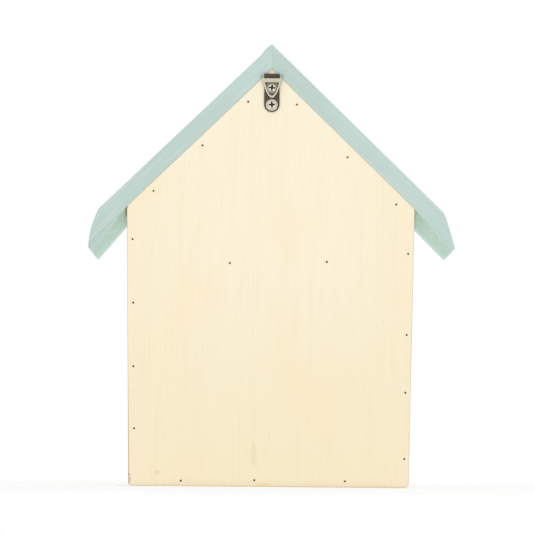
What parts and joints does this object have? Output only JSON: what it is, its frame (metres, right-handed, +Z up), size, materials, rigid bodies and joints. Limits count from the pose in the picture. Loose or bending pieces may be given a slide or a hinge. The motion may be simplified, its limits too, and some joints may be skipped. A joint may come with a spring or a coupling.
{
  "type": "insect hotel",
  "caption": "Wooden house for insects with a painted ridge roof, a nailed back panel, canes, drilled blocks, cones behind a net, a slotted chamber and a swinging hanger.",
  "frame": {"origin": "middle of the floor board's underside, midway between the back panel's rear face and the front edges of the boards", "axes": "+Z up, the front faces -Y, the back panel faces +Y, +X is the right-hand side seen from the front"},
  "size_m": [0.2867, 0.0986, 0.3464],
  "materials": {
    "roof_paint": "matt paint, pale blue-green",
    "plywood": "bare pale plywood",
    "pine": "bare planed pine",
    "door_paint": "matt paint, pale blue-green",
    "cane": "bare cane with sawn ends",
    "block_wood": "bare sawn wood",
    "cone_scale": "dry pine cone scales",
    "zinc_wire": "galvanised wire",
    "dark_steel": "blackened steel strap",
    "nickel": "nickel plated steel"
  },
  "bodies": {
    "house": {"back_panel": "plywood", "cane_left_01": "cane", "cane_left_02": "cane", "cane_left_03": "cane", "cane_left_04": "cane", "cane_left_05": "cane", "cane_left_06": "cane", "cane_left_07": "cane", "cane_left_08": "cane", "cane_left_09": "cane", "cane_left_10": "cane", "cane_left_11": "cane", "cane_left_12": "cane", "cane_left_13": "cane", "cane_left_14": "cane", "cane_right_01": "cane", "cane_right_02": "cane", "cane_right_03": "cane", "cane_right_04": "cane", "cane_right_05": "cane", "cane_right_06": "cane", "cane_right_07": "cane", "cane_right_08": "cane", "cane_right_09": "cane", "cane_right_10": "cane", "cane_right_11": "cane", "cane_right_12": "cane", "cane_right_13": "cane", "cane_right_14": "cane", "chamber_front": "door_paint", "divider_left": "pine", "divider_right": "pine", "floor_board": "pine", "hanger_pin": "nickel", "hanger_screw_lower": "nickel", "hanger_screw_upper": "nickel", "hanger_strap": "dark_steel", "inner_board_left": "pine", "inner_board_right": "pine", "main_shelf": "pine", "nesting_block_left": "block_wood", "nesting_block_right": "block_wood", "pine_cone_1": "cone_scale", "pine_cone_2": "cone_scale", "pine_cone_3": "cone_scale", "pine_cone_4": "cone_scale", "pine_cone_5": "cone_scale", "pine_cone_6": "cone_scale", "pine_cone_7": "cone_scale", "pine_cone_8": "cone_scale", "roof_board_left": "roof_paint", "roof_board_right": "roof_paint", "short_shelf_left": "pine", "short_shelf_right": "pine", "side_wall_left": "pine", "side_wall_right": "pine", "wire_net": "zinc_wire"},
    "eye": {"hanger_eye": "nickel"}
  },
  "joints": [
    {"name": "eye_swing", "type": "hinge", "parent": "house", "child": "eye", "pos_m": [0, 0.0444, 0.32116], "axis": [1, 0, 0], "range_deg": [0, 180]}
  ]
}
